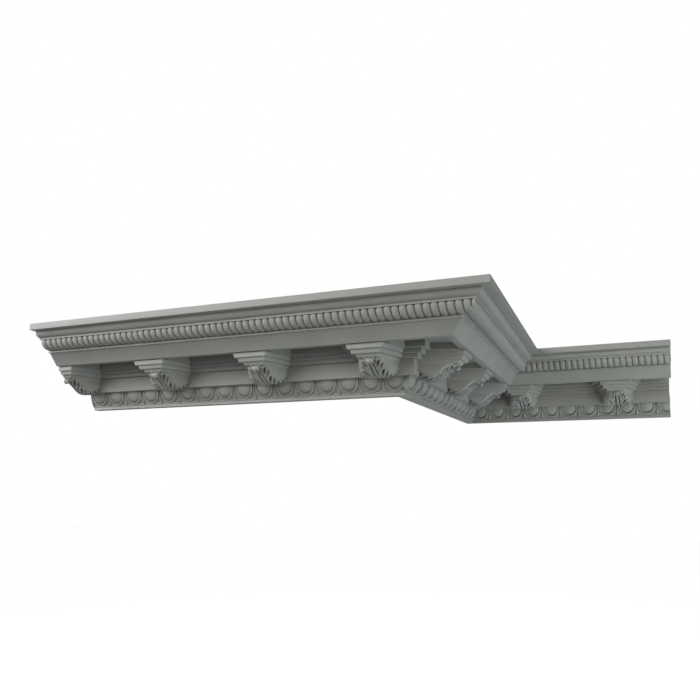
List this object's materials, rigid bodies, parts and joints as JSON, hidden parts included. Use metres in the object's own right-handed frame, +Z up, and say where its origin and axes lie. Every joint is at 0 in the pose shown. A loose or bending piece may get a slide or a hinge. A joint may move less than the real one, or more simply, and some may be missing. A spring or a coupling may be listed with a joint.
{
  "type": "modillion cornice moulding",
  "caption": "Breakfront length of classical modillion cornice with egg-and-dart and reeded ovolos, mitred at an outside and an inside corner, painted grey-green.",
  "frame": {"origin": "middle of the flat back of the left run, half way up its height, where it is fixed to the wall", "axes": "+X along the left run toward the outside corner, +Y into the wall, +Z up; the left and right runs face -Y and the return faces +X"},
  "size_m": [1.954, 1.3725, 0.2496],
  "materials": {
    "paint": "matt grey-green oil paint over fibrous plaster"
  },
  "bodies": {
    "root": {"run_left": "paint", "run_return": "paint", "run_right": "paint", "modillion_left_1": "paint", "modillion_left_2": "paint", "modillion_left_3": "paint", "modillion_left_4": "paint", "modillion_return_1": "paint", "modillion_return_2": "paint", "modillion_return_3": "paint", "modillion_right_1": "paint", "modillion_right_2": "paint"}
  },
  "joints": []
}
